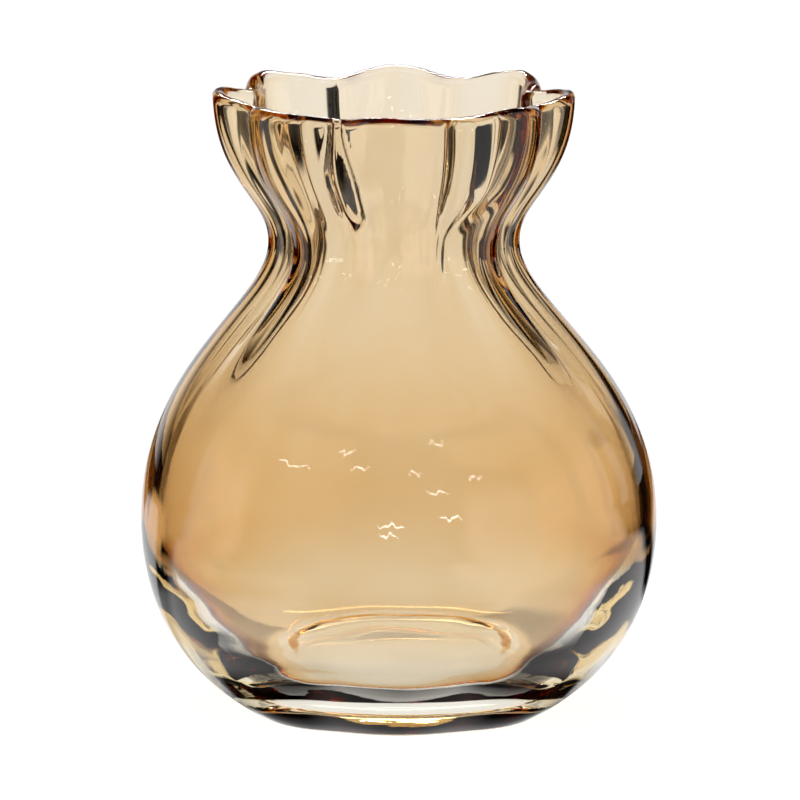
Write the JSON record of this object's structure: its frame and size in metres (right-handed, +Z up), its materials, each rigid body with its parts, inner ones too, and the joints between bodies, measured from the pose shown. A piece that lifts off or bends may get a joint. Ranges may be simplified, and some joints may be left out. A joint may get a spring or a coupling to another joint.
{
  "type": "glass vase",
  "caption": "Round-bellied glass flower vase with a fluted neck, a scalloped rim and a thick clear base, amber on the inside.",
  "frame": {"origin": "middle of the flat standing face, on the axis of the belly", "axes": "+Z up through the mouth, -Y towards the front of the pictured view, +X to the right"},
  "size_m": [0.1406, 0.1406, 0.1706],
  "materials": {
    "clear_glass": "fire-polished clear glass",
    "amber_glass": "smooth see-through amber"
  },
  "bodies": {
    "root": {"clear_glass_body": "clear_glass", "amber_inner_layer": "amber_glass"}
  },
  "joints": []
}
